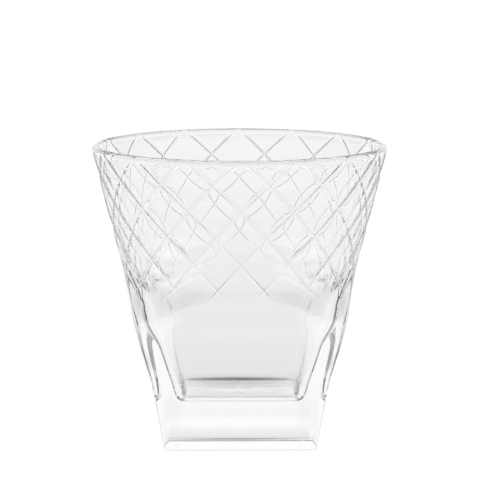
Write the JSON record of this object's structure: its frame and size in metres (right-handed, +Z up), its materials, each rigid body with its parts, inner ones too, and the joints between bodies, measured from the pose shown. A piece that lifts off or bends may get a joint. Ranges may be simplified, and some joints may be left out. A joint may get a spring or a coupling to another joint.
{
  "type": "whiskey tumbler",
  "caption": "Clear pressed-glass tumbler: round rim, diamond-cut flared sides and a thick rounded-square base, for holding a short drink.",
  "frame": {"origin": "centre of the foot, on the surface the glass stands on", "axes": "+Z up through the open mouth; X and Y square to the sides of the foot, with a column of diamonds centred on each"},
  "size_m": [0.0978, 0.0978, 0.0986],
  "materials": {
    "clear_glass": "clear soda-lime glass, fire-polished and smooth"
  },
  "bodies": {
    "root": {"tumbler_glass": "clear_glass"}
  },
  "joints": []
}
